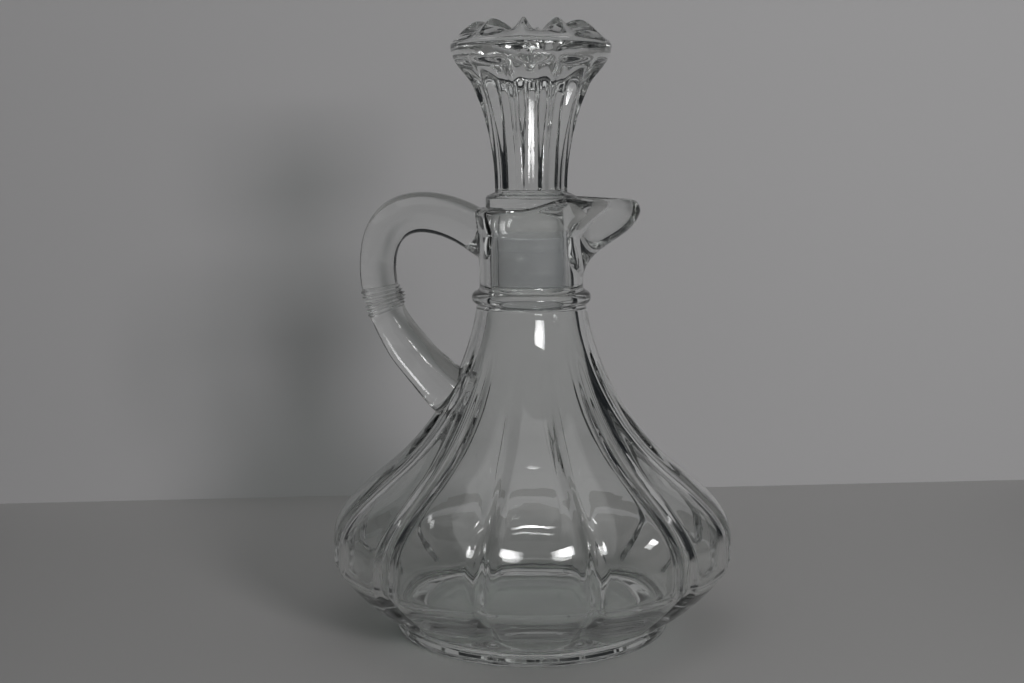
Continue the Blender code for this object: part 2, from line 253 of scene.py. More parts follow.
@dataclass(frozen=True)
class PressedGlass:
    """Clear soda-lime glass pressed in an iron mould and fire-polished.

    To the eye it is colourless where thin and faintly grey-green where thick, glossy, with soft
    uneven swells left by the mould that make highlights and edges waver.
    """

    name: str
    colour: str = "#FDFEFD"
    shadow_colour: str = "#E4E6E5"
    depth_colour: str = "#CCCFCE"
    depth_density: float = 9.0
    ior: float = 1.5
    roughness: float = 0.0
    swell_mm: float = 9.0
    swell_height_mm: float = 0.05
    swell_roughness: float = 0.4
    grain_mm: float = 2.2
    grain_height_mm: float = 0.006

    def material(self) -> bpy.types.Material:
        """Return the glass as a material."""
        material, tree, output = blank_material(self.name)
        place = add_node(tree, "ShaderNodeTexCoord").outputs["Object"]
        swell = add_node(
            tree, "ShaderNodeTexNoise", {},
            {
                "Vector": place,
                "Scale": 1 / (self.swell_mm * MM),
                "Detail": 1.0,
                "Roughness": self.swell_roughness,
            },
        )
        grain = add_node(
            tree, "ShaderNodeTexNoise", {},
            {"Vector": place, "Scale": 1 / (self.grain_mm * MM), "Detail": 0.0},
        )
        low = add_node(
            tree, "ShaderNodeBump", {},
            {
                "Strength": 1.0,
                "Distance": self.swell_height_mm * MM,
                "Height": swell.outputs["Fac"],
            },
        )
        fine = add_node(
            tree, "ShaderNodeBump", {},
            {
                "Strength": 1.0,
                "Distance": self.grain_height_mm * MM,
                "Height": grain.outputs["Fac"],
                "Normal": low.outputs["Normal"],
            },
        )
        glass = add_node(
            tree, "ShaderNodeBsdfPrincipled", {},
            {
                "Base Color": linear(self.colour),
                "Roughness": self.roughness,
                "IOR": self.ior,
                "Transmission Weight": 1.0,
                "Normal": fine.outputs["Normal"],
            },
        )
        open_air = add_node(
            tree, "ShaderNodeBsdfTransparent", {},
            {"Color": linear(self.shadow_colour)},
        )
        lamps = add_node(tree, "ShaderNodeLightPath").outputs["Is Shadow Ray"]
        surface = add_node(
            tree, "ShaderNodeMixShader", {},
            {0: lamps, 1: glass.outputs["BSDF"], 2: open_air.outputs["BSDF"]},
        )
        depth = add_node(
            tree, "ShaderNodeVolumeAbsorption", {},
            {"Color": linear(self.depth_colour), "Density": self.depth_density},
        )
        tree.links.new(surface.outputs["Shader"], output.inputs["Surface"])
        tree.links.new(depth.outputs["Volume"], output.inputs["Volume"])
        return material


@dataclass(frozen=True)
class MouldedPolyethylene:
    """Thin low-density polyethylene, injection moulded.

    To the eye it is a milky, cool, see-through skin with a waxy sheen and faint streaks along
    its length.
    """

    name: str
    colour: str = "#F4F3F8"
    streak_colour: str = "#C4C6D2"
    ior: float = 1.51
    roughness: float = 0.3
    streak_mm: float = 2.4
    streak_length_share: float = 0.05
    streak_height_mm: float = 0.03
    streak_strength: float = 0.5
    milkiness: float = 0.15

    def material(self) -> bpy.types.Material:
        """Return the plastic as a material."""
        material, tree, output = blank_material(self.name)
        place = add_node(tree, "ShaderNodeTexCoord").outputs["Object"]
        along = add_node(
            tree, "ShaderNodeVectorMath", {"operation": "MULTIPLY"},
            {0: place, 1: (1.0, 1.0, self.streak_length_share)},
        )
        streaks = add_node(
            tree, "ShaderNodeTexNoise", {},
            {
                "Vector": along.outputs["Vector"],
                "Scale": 1 / (self.streak_mm * MM),
                "Detail": 2.0,
            },
        )
        tone = add_node(
            tree, "ShaderNodeMix", {"data_type": "RGBA"},
            {
                "Factor": streaks.outputs["Fac"],
                "A": linear(self.colour),
                "B": linear(self.streak_colour),
            },
        )
        bump = add_node(
            tree, "ShaderNodeBump", {},
            {
                "Strength": self.streak_strength,
                "Distance": self.streak_height_mm * MM,
                "Height": streaks.outputs["Fac"],
            },
        )
        plastic = add_node(
            tree, "ShaderNodeBsdfPrincipled", {},
            {
                "Base Color": tone.outputs["Result"],
                "Roughness": self.roughness,
                "IOR": self.ior,
                "Alpha": self.milkiness,
                "Normal": bump.outputs["Normal"],
            },
        )
        tree.links.new(plastic.outputs["BSDF"], output.inputs["Surface"])
        return material


@dataclass(frozen=True)
class EggshellPaint:
    """Water-based eggshell paint, rolled on. To the eye it is flat, even and pale."""

    name: str
    colour: str
    roughness: float = 0.62
    nap_mm: float = 3.0
    nap_height_mm: float = 0.1
    nap_strength: float = 0.25

    def material(self) -> bpy.types.Material:
        """Return the paint as a material."""
        material, tree, output = blank_material(self.name)
        place = add_node(tree, "ShaderNodeTexCoord").outputs["Object"]
        nap = add_node(
            tree, "ShaderNodeTexNoise", {},
            {"Vector": place, "Scale": 1 / (self.nap_mm * MM), "Detail": 3.0},
        )
        bump = add_node(
            tree, "ShaderNodeBump", {},
            {
                "Strength": self.nap_strength,
                "Distance": self.nap_height_mm * MM,
                "Height": nap.outputs["Fac"],
            },
        )
        paint = add_node(
            tree, "ShaderNodeBsdfPrincipled", {},
            {
                "Base Color": linear(self.colour),
                "Roughness": self.roughness,
                "Normal": bump.outputs["Normal"],
            },
        )
        tree.links.new(paint.outputs["BSDF"], output.inputs["Surface"])
        return material


@dataclass
class Bulb:
    """Foot, lobed bulb and cone of the bottle, as (radius, height) in millimetres on a crest."""

    foot_radius: float = 34.0
    foot_height: float = 2.9
    foot_round: float = 0.9
    foot_shoulder: float = 0.7
    shoulder_drop: float = 0.5
    recess_radius: float = 27.5
    recess_slope: float = 1.0
    recess_depth: float = 0.6
    recess_steps: int = 4
    round_steps: int = 8
    tuck_turns: Pair = (-110.0, -160.0)
    tuck_steps: int = 4
    seat: Pair = (34.2, 4.4)
    lower_pulls: tuple[Pair, Pair] = ((39.3, 4.5), (49.5, 16.7))
    widest: Pair = (49.5, 18.0)
    upper_pulls: tuple[Pair, Pair] = ((49.5, 26.1), (50.3, 28.5))
    waist: Pair = (36.8, 39.4)
    cone_pulls: tuple[Pair, Pair] = ((16.6, 55.4), (13.7, 78.2))
    shoulder: Pair = (13.6, 79.0)
    lobes: int = 12
    lobe_depth: float = 2.5
    lobe_roundness: float = 0.12
    crease_width: float = 0.12
    crease_flare: float = 0.14
    crease_soften: float = 0.22
    fade_in: Pair = (4.8, 8.0)
    flare: Pair = (18.0, 8.0)
    soften: Pair = (29.4, 59.4)
    fade_out: Pair = (74.0, 23.0)
    neck_wall: float = 3.0
    bulb_wall: float = 2.6
    hollow_top: float = 75.0
    floor_height: float = 6.4
    heel_start: Pair = (46.9, 18.0)
    heel_pulls: tuple[Pair, Pair] = ((46.9, 15.3), (37.0, 8.0))
    heel_radius: float = 25.0
    heel_rise: float = 0.2
    inner_shares: tuple[Pair, ...] = ((10.0, 0.0), (15.5, 0.6), (22.0, 1.0))
    inner_crease_width: float = 0.15
    lower_steps: int = 26
    upper_steps: int = 28
    cone_steps: int = 44
    heel_steps: int = 24

    @property
    def lower(self) -> Cubic:
        """Curve from the seat on the foot to the widest place."""
        return Cubic(self.seat, *self.lower_pulls, self.widest)

    @property
    def upper(self) -> Cubic:
        """Curve from the widest place to the waist."""
        return Cubic(self.widest, *self.upper_pulls, self.waist)

    @property
    def cone(self) -> Cubic:
        """Curve from the waist to the shoulder."""
        return Cubic(self.waist, *self.cone_pulls, self.shoulder)

    @property
    def heel(self) -> Cubic:
        """Curve of the hollow from the widest place to the floor."""
        end = (self.heel_radius, self.floor_height + self.heel_rise)
        return Cubic(self.heel_start, *self.heel_pulls, end)

    def sag(self, angle: float, width: float) -> float:
        """Return 0 along the middle of a lobe and 1 in the crease between two.

        Args:
            angle: Angle round the axis.
            width: Width of the crease, as a share of half a lobe.

        Returns:
            The share of the crease's depth.
        """
        sector = math.tau / self.lobes
        offset = (angle + sector / 2) % sector - sector / 2
        across = abs(2 * offset / sector)
        near = math.exp(-(((1 - across) / width) ** 2))
        return self.lobe_roundness * across**2 + (1 - self.lobe_roundness) * near

    def depth(self, height: float) -> float:
        """Return how deep the creases are at a height, in millimetres."""
        return self.lobe_depth * ramp(height, self.fade_in) * ramp(height, self.fade_out)

    def ring(
        self, radius: float, height: float, angles: Sequence[float], inner: bool = False
    ) -> Ring:
        """Return a ring drawn in at the creases.

        Args:
            radius: Radius on a crest.
            height: Height of the ring.
            angles: Angles round the axis.
            inner: True for the hollow, whose creases are wider and fade out near the floor.

        Returns:
            The ring's points.
        """
        depth = self.depth(height) * (between(self.inner_shares, height) if inner else 1.0)
        width = self.inner_crease_width if inner else self.crease_width
        width += self.crease_flare * ramp(height, self.flare)
        width += self.crease_soften * ramp(height, self.soften)
        return [at(radius - depth * self.sag(angle, width), height, angle) for angle in angles]

    def outside(self) -> list[Pair]:
        """Return the outside from the seat on the foot up to the shoulder."""
        rise = self.lower.points(self.lower_steps) + self.upper.points(self.upper_steps, 1)
        return rise + self.cone.points(self.cone_steps, 1)

    def inside(self) -> list[Pair]:
        """Return the hollow from the neck down to the widest place."""
        points = []
        rise = (self.widest[1], self.shoulder[1])
        for curve, steps in ((self.cone, self.cone_steps), (self.upper, self.upper_steps)):
            for i in range(steps - 1, -1, -1):
                radius, height = curve.point(i / steps)
                across, up = curve.normal(i / steps)
                wall = self.bulb_wall + (self.neck_wall - self.bulb_wall) * ramp(height, rise)
                point = (radius - across * wall, height - up * wall)
                if point[1] < self.hollow_top:
                    points.append(point)
        return points

    def foot_rings(self, angles: Sequence[float]) -> list[Ring]:
        """Return the rings of the recess and the rounded foot, from the recess outwards."""
        profile = [(self.recess_radius - self.recess_depth, self.recess_depth)]
        for i in range(self.recess_steps + 1):
            down = (1 - math.cos(math.pi * i / self.recess_steps)) / 2
            radius = self.recess_radius + self.recess_slope * down
            profile.append((radius, self.recess_depth * (1 - down)))
        edge, shoulder, drop = self.foot_round, self.foot_shoulder, self.shoulder_drop
        out, top = self.foot_radius, self.foot_height
        profile += arc((out - edge, edge), edge, (-90, 0), self.round_steps)
        profile += arc((out - shoulder, top - drop), shoulder, (0, 90), self.round_steps)
        profile += arc((out - drop, top + edge), shoulder, self.tuck_turns, self.tuck_steps)
        return round_rings(profile, angles)


def arc(centre: Pair, size: float, ends: Pair, steps: int) -> list[Pair]:
    """Return points of a round arc.

    Args:
        centre: Centre as (radius, height).
        size: Radius of the arc.
        ends: First and last angle in degrees, 0 outwards and 90 up.
        steps: Number of steps.

    Returns:
        Points as (radius, height).
    """
    start, end = ends
    turns = [math.radians(start + (end - start) * i / steps) for i in range(steps + 1)]
    middle, height = centre
    return [(middle + size * math.cos(turn), height + size * math.sin(turn)) for turn in turns]


@dataclass
class Mouth:
    """Bead ring, neck and pouring lip of the bottle, in millimetres."""

    bead: Pair = (12.9, 81.9)
    bead_tube: float = 1.72
    bead_turns: Pair = (-72.0, 80.0)
    neck_radius: float = 12.7
    neck_base: float = 84.5
    neck_top: float = 87.0
    side_rise: float = 94.0
    side_pull: Pair = (14.2, 98.0)
    rim_outside: Pair = (14.05, 102.2)
    rim_pulls: tuple[Pair, Pair] = ((14.1, 103.0), (13.7, 103.6))
    rim_top: Pair = (12.9, 103.6)
    throat_pulls: tuple[Pair, Pair] = ((11.6, 103.5), (10.9, 99.5))
    under_pulls: tuple[Pair, Pair] = ((14.2, 95.0), (24.3, 95.5))
    lip_outside: Pair = (26.5, 102.3)
    lip_pulls: tuple[Pair, Pair] = ((26.8, 104.0), (25.9, 105.3))
    lip_top: Pair = (24.4, 105.6)
    channel_pulls: tuple[Pair, Pair] = ((18.6, 105.2), (14.2, 101.5))
    bore_radius: float = 9.8
    bore_top: float = 97.0
    bore_heights: tuple[float, ...] = (93.0, 88.5, 84.0)
    lip_spread: float = math.radians(26)
    channel_spread: float = math.radians(21)
    rim_lift: float = 2.6
    lift_turns: Pair = (math.radians(105), math.radians(50))
    bead_steps: int = 16
    wall_steps: int = 30
    roll_steps: int = 10
    channel_steps: int = 24

    @property
    def side(self) -> tuple[Cubic, Cubic, Cubic]:
        """Outside, roll and inside of the mouth's plain side."""
        neck, bore = (self.neck_radius, self.neck_top), (self.bore_radius, self.bore_top)
        rise = (self.neck_radius, self.side_rise)
        outside = Cubic(neck, rise, self.side_pull, self.rim_outside)
        roll = Cubic(self.rim_outside, *self.rim_pulls, self.rim_top)
        return outside, roll, Cubic(self.rim_top, *self.throat_pulls, bore)

    @property
    def lip(self) -> tuple[Cubic, Cubic, Cubic]:
        """Underside, roll and channel of the pouring lip."""
        neck, bore = (self.neck_radius, self.neck_top), (self.bore_radius, self.bore_top)
        under = Cubic(neck, *self.under_pulls, self.lip_outside)
        roll = Cubic(self.lip_outside, *self.lip_pulls, self.lip_top)
        return under, roll, Cubic(self.lip_top, *self.channel_pulls, bore)

    def ring(
        self, side: Pair, lip: Pair, lift_share: float, spread: float, angles: Sequence[float]
    ) -> Ring:
        """Return a ring of the mouth, blended from its plain side to its lip.

        Args:
            side: (radius, height) on the plain side.
            lip: (radius, height) at the tip of the lip.
            lift_share: Share of the rim's rise towards the lip.
            spread: Half-width of the lip, in radians.
            angles: Angles round the axis.

        Returns:
            The ring's points.
        """
        points = []
        for angle in angles:
            turn = abs((angle + math.pi) % math.tau - math.pi)
            lift = self.rim_lift * ramp(turn, self.lift_turns) * lift_share
            weight = math.exp(-((turn / spread) ** 2))
            radius = side[0] + (lip[0] - side[0]) * weight
            height = (side[1] + lift) * (1 - weight) + lip[1] * weight
            points.append(at(radius, height, angle))
        return points

    def rings(self, angles: Sequence[float]) -> list[Ring]:
        """Return the rings from the bead ring up, over the rim and down to the bore's end."""
        profile = arc(self.bead, self.bead_tube, self.bead_turns, self.bead_steps)
        neck = (self.neck_base, (self.neck_base + self.neck_top) / 2)
        profile += [(self.neck_radius, height) for height in neck]
        rings = round_rings(profile, angles)
        (outside, side_roll, inside), (under, lip_roll, channel) = self.side, self.lip
        for i in range(self.wall_steps + 1):
            t = i / self.wall_steps
            ring = self.ring(outside.point(t), under.point(t), t**3, self.lip_spread, angles)
            rings.append(ring)
        for i in range(1, self.roll_steps + 1):
            t = i / self.roll_steps
            ring = self.ring(side_roll.point(t), lip_roll.point(t), 1.0, self.lip_spread, angles)
            rings.append(ring)
        narrowing = self.channel_spread - self.lip_spread
        for i in range(1, self.channel_steps + 1):
            t = i / self.channel_steps
            spread = self.lip_spread + narrowing * smooth(2 * t)
            ring = self.ring(inside.point(t), channel.point(t), (1 - t) ** 2, spread, angles)
            rings.append(ring)
        bore = [(self.bore_radius, height) for height in self.bore_heights]
        return rings + round_rings(bore, angles)


@dataclass
class Handle:
    """Looped handle: a round rod drawn along two curves, with a ridged band, in millimetres.

    The curves are in (x, height), and the radii are given by their share of the length.
    """

    loop: Cubic = Cubic((-12.5, 97.6), (-20.0, 103.4), (-37.6, 108.0), (-37.4, 89.0))
    arm: Cubic = Cubic((-37.4, 89.0), (-37.3, 78.0), (-31.0, 68.5), (-17.5, 56.3))
    radii: tuple[Pair, ...] = (
        (0.0, 5.2),
        (0.25, 4.9),
        (0.45, 4.45),
        (0.62, 4.45),
        (0.78, 5.2),
        (1.0, 6.4),
    )
    band: Pair = (84.6, 78.8)
    band_ridges: int = 6
    band_rise: float = 0.8
    band_end_share: float = 0.55
    band_lean: float = 0.5
    sink: float = 1.3
    sink_step: float = 0.05
    sink_tries: int = 400
    sides: int = 48
    samples: int = 400
    stations: int = 400
    run_steps: int = 5

    def path(self) -> list[tuple[Pair, float, float]]:
        """Return stations along the handle: middle as (x, height), radius and lean."""
        samples = self.loop.points(self.samples) + self.arm.points(self.samples, 1)
        lengths = [0.0]
        for before, after in zip(samples, samples[1:]):
            lengths.append(lengths[-1] + math.dist(before, after))
        arm = range(self.samples, len(samples))
        start, end = (
            lengths[next(i for i in arm if samples[i][1] <= height)] for height in self.band
        )
        found = []
        for number in range(self.stations + 1):
            target = lengths[-1] * number / self.stations
            i = min(bisect_left(lengths, target), len(samples) - 1)
            along = (target - start) / (end - start)
            rise = lean = 0.0
            if 0 < along < 1:
                swell = smooth(2 * min(along, 1 - along))
                share = self.band_end_share + (1 - self.band_end_share) * swell
                rise = self.band_rise * share * math.sin(math.pi * self.band_ridges * along) ** 2
                lean = self.band_lean * swell
            found.append((samples[i], between(self.radii, target / lengths[-1]) + rise, lean))
        return found

    def rings(self, wall: Callable[[float], float]) -> list[Ring]:
        """Return the rod's rings, its end rings sunk into the bottle's wall.

        Args:
            wall: Gives the bottle's outside radius at a height.

        Returns:
            The rings' points.
        """
        stations = self.path()
        rings = []
        runs = []
        for i, ((x, height), radius, lean) in enumerate(stations):
            before = stations[max(i - self.run_steps, 0)][0]
            after = stations[min(i + self.run_steps, len(stations) - 1)][0]
            run = Vector((after[0] - before[0], 0.0, after[1] - before[1])).normalized()
            outward, sideways = Vector((-run.z, 0.0, run.x)), Vector((0.0, 1.0, 0.0))
            middle = Vector((x + lean, 0.0, height))
            ring = []
            for k in range(self.sides):
                turn = math.tau * k / self.sides
                offset = (outward * math.cos(turn) + sideways * math.sin(turn)) * radius
                ring.append(middle + offset)
            rings.append(ring)
            runs.append(run)
        first, last = self.run_steps, len(rings) - 1 - self.run_steps
        sunk = [[self.sunk(point, -runs[first], wall) for point in rings[first]]]
        sunk += rings[first + 1 : last]
        sunk.append([self.sunk(point, runs[last], wall) for point in rings[last]])
        return [[tuple(point) for point in ring] for ring in sunk]

    def sunk(self, point: Vector, run: Vector, wall: Callable[[float], float]) -> Vector:
        """Slide a point along a direction until it is inside the bottle's wall."""
        for _ in range(self.sink_tries):
            if math.hypot(point.x, point.y) <= wall(point.z) - self.sink:
                break
            point = point + run * self.sink_step
        return point


@dataclass
class Bottle:
    """The bottle: bulb, cone, neck, mouth and handle in one piece of glass."""

    bulb: Bulb = field(default_factory=Bulb)
    mouth: Mouth = field(default_factory=Mouth)
    handle: Handle = field(default_factory=Handle)
    lobe_sides: int = 20
    crowding: float = 0.42
    fillet_reach: float = 2.6
    fillet_pull: float = 0.5
    fillet_rounds: int = 24

    def outside_radius(self, height: float) -> float:
        """Return the outside radius on a crest at a height of the cone or the mouth."""
        side = self.mouth.side
        profile = self.bulb.outside() + side[0].points(self.mouth.wall_steps) + [side[1].end]
        heights = [station[1] for station in profile]
        i = min(max(bisect_right(heights, height), 1), len(profile) - 1)
        (start, low), (end, high) = profile[i - 1], profile[i]
        return start + (end - start) * min(max((height - low) / (high - low), 0.0), 1.0)

    def angles(self) -> list[float]:
        """Return the angles of a ring's points, closer together at the creases."""
        sector = math.tau / self.bulb.lobes
        steps = []
        for i in range(self.lobe_sides):
            turn = math.tau * i / self.lobe_sides
            steps.append((turn + self.crowding * math.sin(turn)) / math.tau)
        return [sector * (lobe + step) for lobe in range(self.bulb.lobes) for step in steps]

    def vessel_rings(self) -> list[Ring]:
        """Return the rings of the foot, outside, mouth and hollow."""
        angles = self.angles()
        rings = self.bulb.foot_rings(angles)
        rings += [self.bulb.ring(radius, height, angles) for radius, height in self.bulb.outside()]
        rings += self.mouth.rings(angles)
        hollow = self.bulb.inside() + self.bulb.heel.points(self.bulb.heel_steps, 1)
        rings += [self.bulb.ring(radius, height, angles, inner=True) for radius, height in hollow]
        return rings

    def build(self) -> bpy.types.Object:
        """Return the bottle with its handle joined on and the joints rounded."""
        floor = (0.0, 0.0, self.bulb.floor_height)
        recess = (0.0, 0.0, self.bulb.recess_depth)
        vessel = solid("cruet_bottle", self.vessel_rings(), Ends.FANS, (recess, floor))
        rings = self.handle.rings(self.outside_radius)
        ends = (rings[0], rings[-1])
        tips = tuple(tuple(sum(values) / len(ring) for values in zip(*ring)) for ring in ends)
        rod = solid("handle_rod", rings, Ends.FANS, tips)
        for number, piece in enumerate((vessel, rod)):
            piece.data.materials.append(bpy.data.materials.new(f"side_{number}"))
        union = vessel.modifiers.new("handle", "BOOLEAN")
        union.operation = "UNION"
        union.solver = "MANIFOLD"
        union.object = rod
        graph = bpy.context.evaluated_depsgraph_get()
        joined = bpy.data.meshes.new_from_object(vessel.evaluated_get(graph))
        vessel.modifiers.clear()
        vessel.data = joined
        bpy.data.objects.remove(rod)
        self.round_joints(joined)
        return vessel

    def round_joints(self, mesh: bpy.types.Mesh) -> None:
        """Round the crease where handle and bottle meet, as fused glass does.

        Args:
            mesh: The joined mesh, whose two sides have different material numbers.
        """
        shape = bmesh.new()
        shape.from_mesh(mesh)
        seam = {
            vert
            for edge in shape.edges
            if len({face.material_index for face in edge.link_faces}) == 2
            for vert in edge.verts
        }
        log.info("handle joints: %d points on the seams", len(seam))
        reach = self.fillet_reach * MM
        distance = {vert: 0.0 for vert in seam}
        front = list(seam)
        while front:
            following = []
            for vert in front:
                for edge in vert.link_edges:
                    other = edge.other_vert(vert)
                    far = distance[vert] + edge.calc_length()
                    if far < reach and far < distance.get(other, reach):
                        distance[other] = far
                        following.append(other)
            front = following
        weights = {
            vert: self.fillet_pull * smooth(1 - far / reach) for vert, far in distance.items()
        }
        for _ in range(self.fillet_rounds):
            moved = {}
            for vert, weight in weights.items():
                around = [edge.other_vert(vert).co for edge in vert.link_edges]
                middle = sum(around, Vector()) / len(around)
                moved[vert] = vert.co.lerp(middle, weight)
            for vert, co in moved.items():
                vert.co = co
        for face in shape.faces:
            face.material_index = 0
            face.smooth = True
        shape.to_mesh(mesh)
        shape.free()

    def dress(self, piece: bpy.types.Object, glass: bpy.types.Material) -> None:
        """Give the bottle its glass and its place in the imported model."""
        piece.data.materials.clear()
        piece.data.materials.append(glass)
        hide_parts("bottle")
        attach(piece, "root")


@dataclass
class Stopper:
    """Solid glass stopper: plug, collar, fluted stem and petalled crown, in millimetres."""

    plug_bottom: float = 81.0
    plug_tip_radius: float = 8.1
    plug_radius: float = 8.4
    tip_round: float = 1.6
    plug_steps: int = 4
    plug_step: float = 4.8
    collar_radius: float = 11.1
    collar: Pair = (103.3, 106.8)
    collar_rounds: Pair = (0.9, 1.0)
    collar_turn: float = 80.0
    round_steps: int = 6
    stem_foot_radius: float = 8.8
    stem_foot_rise: float = 0.6
    stem_pulls: tuple[Pair, Pair] = ((8.6, 117.5), (11.4, 127.5))
    stem_top: Pair = (14.2, 133.2)
    underside_pull: Pair = (15.5, 135.8)
    underside_rise: float = 138.2
    crown_radius: float = 19.3
    crown_height: float = 141.9
    top_rise: float = 144.2
    top_pull: Pair = (14.5, 145.2)
    dish_edge: Pair = (10.0, 144.6)
    dish_height: float = 143.4
    dish_steps: int = 12
    flutes: int = 10
    flute_shares: tuple[Pair, ...] = ((112.0, 0.085), (136.0, 0.18))
    flute_flatness: float = 1.6
    flute_end: Pair = (138.8, 136.8)
    petal_rise: float = 2.98
    petal_radius: float = 12.5
    petal_sharpness: float = 2.4
    petal_turn: float = math.radians(-9)
    sides: int = 360
    stem_steps: int = 44
    underside_steps: int = 26
    top_steps: int = 26

    @property
    def stem(self) -> Cubic:
        """Curve of the stem from the collar to the crown."""
        foot = (self.stem_foot_radius, self.collar[1] + self.stem_foot_rise)
        return Cubic(foot, *self.stem_pulls, self.stem_top)

    @property
    def underside(self) -> Cubic:
        """Curve of the crown's underside."""
        rim, rise = self.crown_height, self.underside_rise
        out = self.crown_radius
        return Cubic(self.stem_top, self.underside_pull, (out, rise), (out, rim))

    @property
    def top(self) -> Cubic:
        """Curve of the crown's top, from the rim inwards."""
        rim, rise = self.crown_height, self.top_rise
        out = self.crown_radius
        return Cubic((out, rim), (out, rise), self.top_pull, self.dish_edge)

    def flute(self, angle: float, height: float) -> float:
        """Return how deep the flutes are at a place, as a share of the radius."""
        sector = math.tau / self.flutes
        offset = (angle - FRONT + sector / 2) % sector - sector / 2
        across = abs(2 * offset / sector) ** self.flute_flatness
        share = between(self.flute_shares, height) * ramp(height, self.flute_end)
        return share * (0.5 + 0.5 * math.cos(math.pi * across))

    def petal(self, angle: float) -> float:
        """Return 1 along a petal of the crown and 0 half-way to the next."""
        turn = self.flutes * (angle - FRONT - self.petal_turn)
        return (0.5 + 0.5 * math.cos(turn)) ** self.petal_sharpness

    def rings(self) -> list[Ring]:
        """Return the rings from the tip of the plug to the dish in the crown."""
        angles = [FRONT + math.tau * i / self.sides for i in range(self.sides)]
        (low, high), (under, over) = self.collar, self.collar_rounds
        base = self.plug_bottom + self.tip_round
        tip = (self.plug_tip_radius - self.tip_round, base)
        profile = arc(tip, self.tip_round, (-90, 0), self.round_steps)
        widening = self.plug_radius - self.plug_tip_radius
        for i in range(1, self.plug_steps + 1):
            radius = self.plug_tip_radius + widening * i / self.plug_steps
            profile.append((radius, base + self.plug_step * i))
        out = self.collar_radius
        profile += arc((out - under, low + under), under, (-90, 0), self.round_steps)
        profile += arc((out - over, high - over), over, (0, self.collar_turn), self.round_steps)
        rings = round_rings(profile, angles)
        rise = self.stem.points(self.stem_steps) + self.underside.points(self.underside_steps, 1)
        for radius, height in rise:
            radii = [radius * (1 - self.flute(angle, height)) for angle in angles]
            rings.append([at(size, height, angle) for size, angle in zip(radii, angles)])
        edge_radius, edge_height = self.dish_edge
        crown = self.top.points(self.top_steps, 1)
        for i in range(1, self.dish_steps):
            left = 1 - i / self.dish_steps
            sag = (edge_height - self.dish_height) * smooth(left)
            crown.append((edge_radius * left, self.dish_height + sag))
        for radius, height in crown:
            outer = (self.crown_radius - radius) / (self.crown_radius - self.petal_radius)
            lift = self.petal_rise * smooth(min(outer, radius / self.petal_radius))
            rings.append([at(radius, height + lift * self.petal(angle), angle) for angle in angles])
        return rings

    def build(self) -> bpy.types.Object:
        """Return the stopper."""
        tips = ((0.0, 0.0, self.plug_bottom), (0.0, 0.0, self.dish_height))
        return solid("cruet_stopper", self.rings(), Ends.FANS, tips)

    def dress(self, piece: bpy.types.Object, glass: bpy.types.Material) -> None:
        """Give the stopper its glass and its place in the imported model."""
        piece.data.materials.append(glass)
        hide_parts("stopper")
        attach(piece, "root")


@dataclass
class Sleeve:
    """Thin plastic sleeve that wedges the plug in the neck, in millimetres."""

    top: float = 96.8
    bottom: float = 84.4
    radius: float = 9.3
    flange_radius: float = 9.65
    flange_height: float = 0.9
    bevel: float = 0.1
    top_bevel: float = 0.15
    step: float = 0.2
    belt: float = 6.0
    play: float = 0.39
    sharp_degrees: float = 40.0
    sides: int = 180

    def build(self, stopper: Stopper) -> bpy.types.Object:
        """Return the sleeve, fitted round the stopper's plug."""
        angles = [math.tau * i / self.sides for i in range(self.sides)]
        top, bottom, bevel, flange = self.top, self.bottom, self.bevel, self.flange_radius
        seat = stopper.collar[0]
        taper = (stopper.plug_radius - stopper.plug_tip_radius) / (seat - stopper.plug_bottom)
        upper, lower = (stopper.plug_radius - taper * (seat - z) + self.play for z in (top, bottom))
        ledge = top - self.flange_height
        profile = [
            (self.radius, bottom + bevel),
            (self.radius, bottom + self.belt),
            (self.radius, ledge - self.step),
            (flange, ledge + bevel),
            (flange, top - self.top_bevel),
            (flange - self.top_bevel, top),
            (upper + bevel, top),
            (upper, top - self.top_bevel),
            (lower, bottom + bevel),
            (lower + bevel, bottom),
            (self.radius - bevel, bottom),
        ]
        return solid("cruet_stopper_sleeve", round_rings(profile, angles), Ends.TUBE)

    def dress(self, piece: bpy.types.Object, plastic: bpy.types.Material) -> None:
        """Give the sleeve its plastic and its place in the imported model."""
        piece.data.materials.append(plastic)
        piece.data.set_sharp_from_angle(angle=math.radians(self.sharp_degrees))
        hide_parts("stopper_sleeve")
        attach(piece, "root")


class Role(Enum):
    """What a studio lamp is for."""

    PAINT = "lights floor and backdrop, and is not mirrored"
    CARD = "a small bright card that glass mirrors"
    BOTH = "lights and is mirrored"


